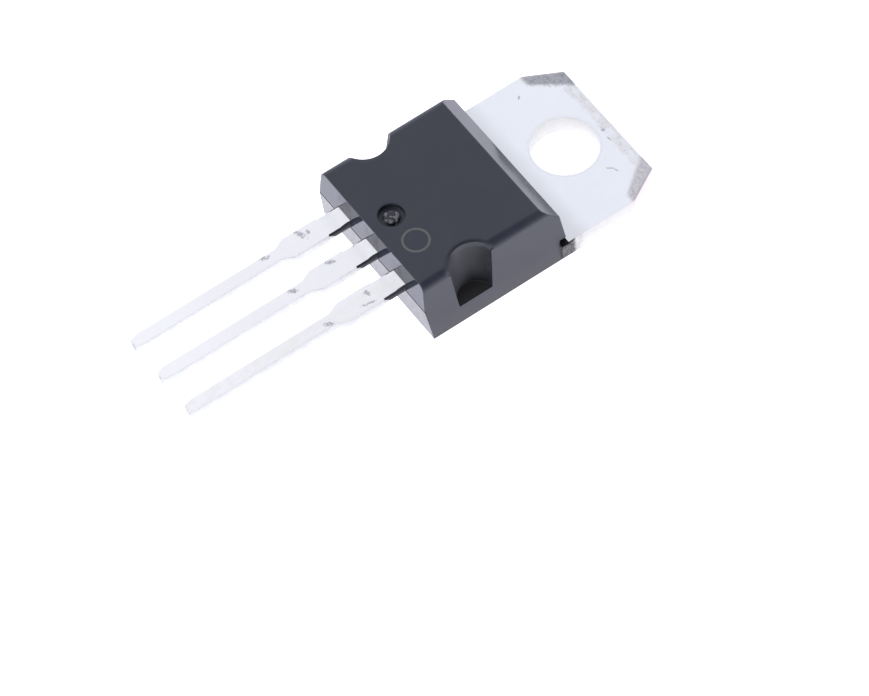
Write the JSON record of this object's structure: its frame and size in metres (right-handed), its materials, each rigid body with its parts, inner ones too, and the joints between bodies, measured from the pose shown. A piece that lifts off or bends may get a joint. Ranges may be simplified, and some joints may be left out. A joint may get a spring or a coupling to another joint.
{
  "type": "power transistor",
  "caption": "Through-hole power transistor: black moulded case on a tinned metal mounting tab with a screw hole, and a row of flat leads for soldering.",
  "frame": {"origin": "centre of the mounting hole, on the heatsink face at the back of the tab", "axes": "+Z out of the front face, along the hole; +Y towards the end of the tab, leads towards -Y; +X to the right seen from the front with the tab up"},
  "size_m": [0.0104, 0.0291, 0.0045],
  "materials": {
    "tinned_copper": "satin tin plating over copper, bare copper at the sheared edges",
    "moulding_compound": "satin front, smoother ends",
    "silicon": "polished, sealed inside",
    "solder": "dull, sealed inside",
    "bond_wire": "bright, sealed inside"
  },
  "bodies": {
    "root": {"heatsink_frame": "tinned_copper", "base_lead": "tinned_copper", "emitter_lead": "tinned_copper", "moulded_body": "moulding_compound", "transistor_die": "silicon", "die_attach": "solder", "base_bond_wire": "bond_wire", "emitter_bond_wire_1": "bond_wire", "emitter_bond_wire_2": "bond_wire"}
  },
  "joints": []
}
